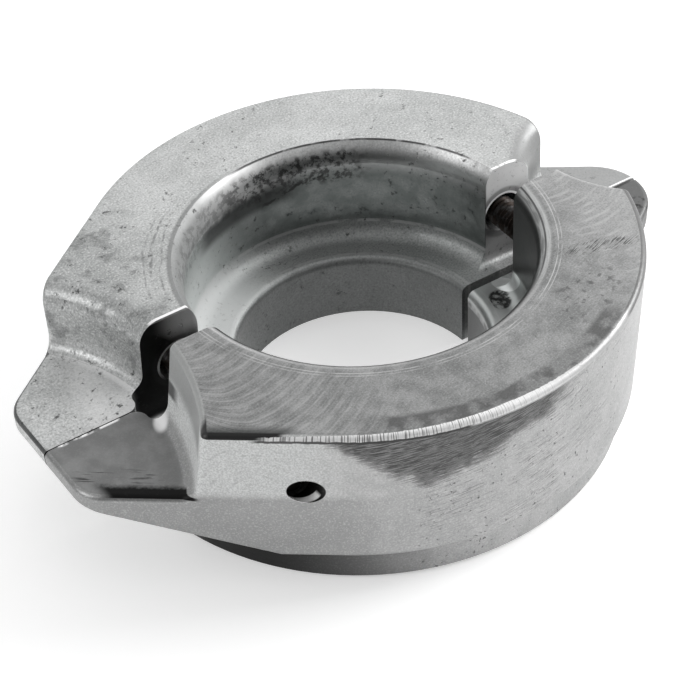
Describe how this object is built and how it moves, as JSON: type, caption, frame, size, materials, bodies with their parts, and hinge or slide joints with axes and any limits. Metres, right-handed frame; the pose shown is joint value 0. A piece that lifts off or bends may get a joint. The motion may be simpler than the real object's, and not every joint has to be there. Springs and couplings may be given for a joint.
{
  "type": "sacrificial anode",
  "caption": "Split zinc collar anode: cast halves with a stepped bore, a broad lug and a narrow lug, clamped by socket-head screws across the joint.",
  "frame": {"origin": "on the bore's axis, at the face of the lower ring that the collar rests on", "axes": "+Z along the bore from the resting face to the recessed end; +X along the split towards the narrow lug; -Y towards the front half"},
  "size_m": [0.1735, 0.1358, 0.0484],
  "materials": {
    "ground_zinc": "cast zinc with a ground top face",
    "cast_zinc": "zinc as cast",
    "stainless_screw": "plain stainless steel"
  },
  "bodies": {
    "root": {"front_half": "ground_zinc", "rear_half": "cast_zinc", "left_screw": "stainless_screw", "right_screw": "stainless_screw"}
  },
  "joints": []
}
